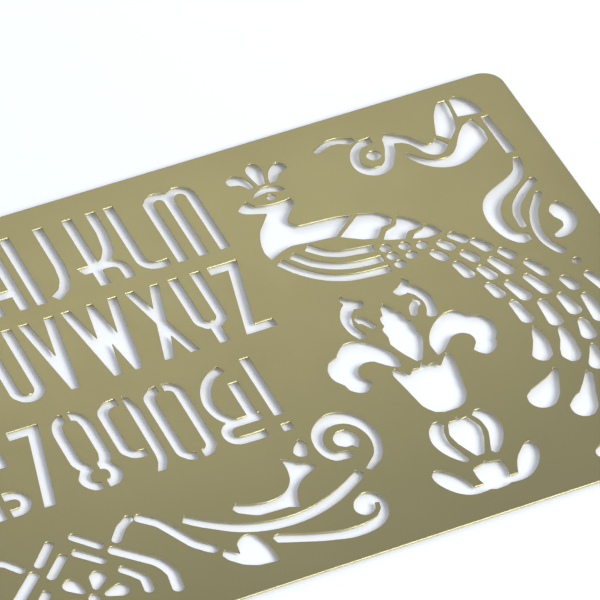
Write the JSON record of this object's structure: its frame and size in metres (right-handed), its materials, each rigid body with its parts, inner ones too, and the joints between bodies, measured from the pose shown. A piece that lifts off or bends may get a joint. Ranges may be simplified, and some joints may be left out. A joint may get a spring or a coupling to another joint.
{
  "type": "drawing stencil",
  "caption": "Thin brass-coloured etched sheet with rounded corners, cut through with an alphabet, numerals, a peafowl, a tulip, scrolls and leaves for tracing.",
  "frame": {"origin": "centre of the sheet's outline, on its underside", "axes": "+X along the rows of characters in reading direction, +Y up the characters, +Z out of the face that is read"},
  "size_m": [0.1778, 0.1016, 0.0004],
  "materials": {
    "etched_brass": "satin"
  },
  "bodies": {
    "root": {"stencil_sheet": "etched_brass"}
  },
  "joints": []
}
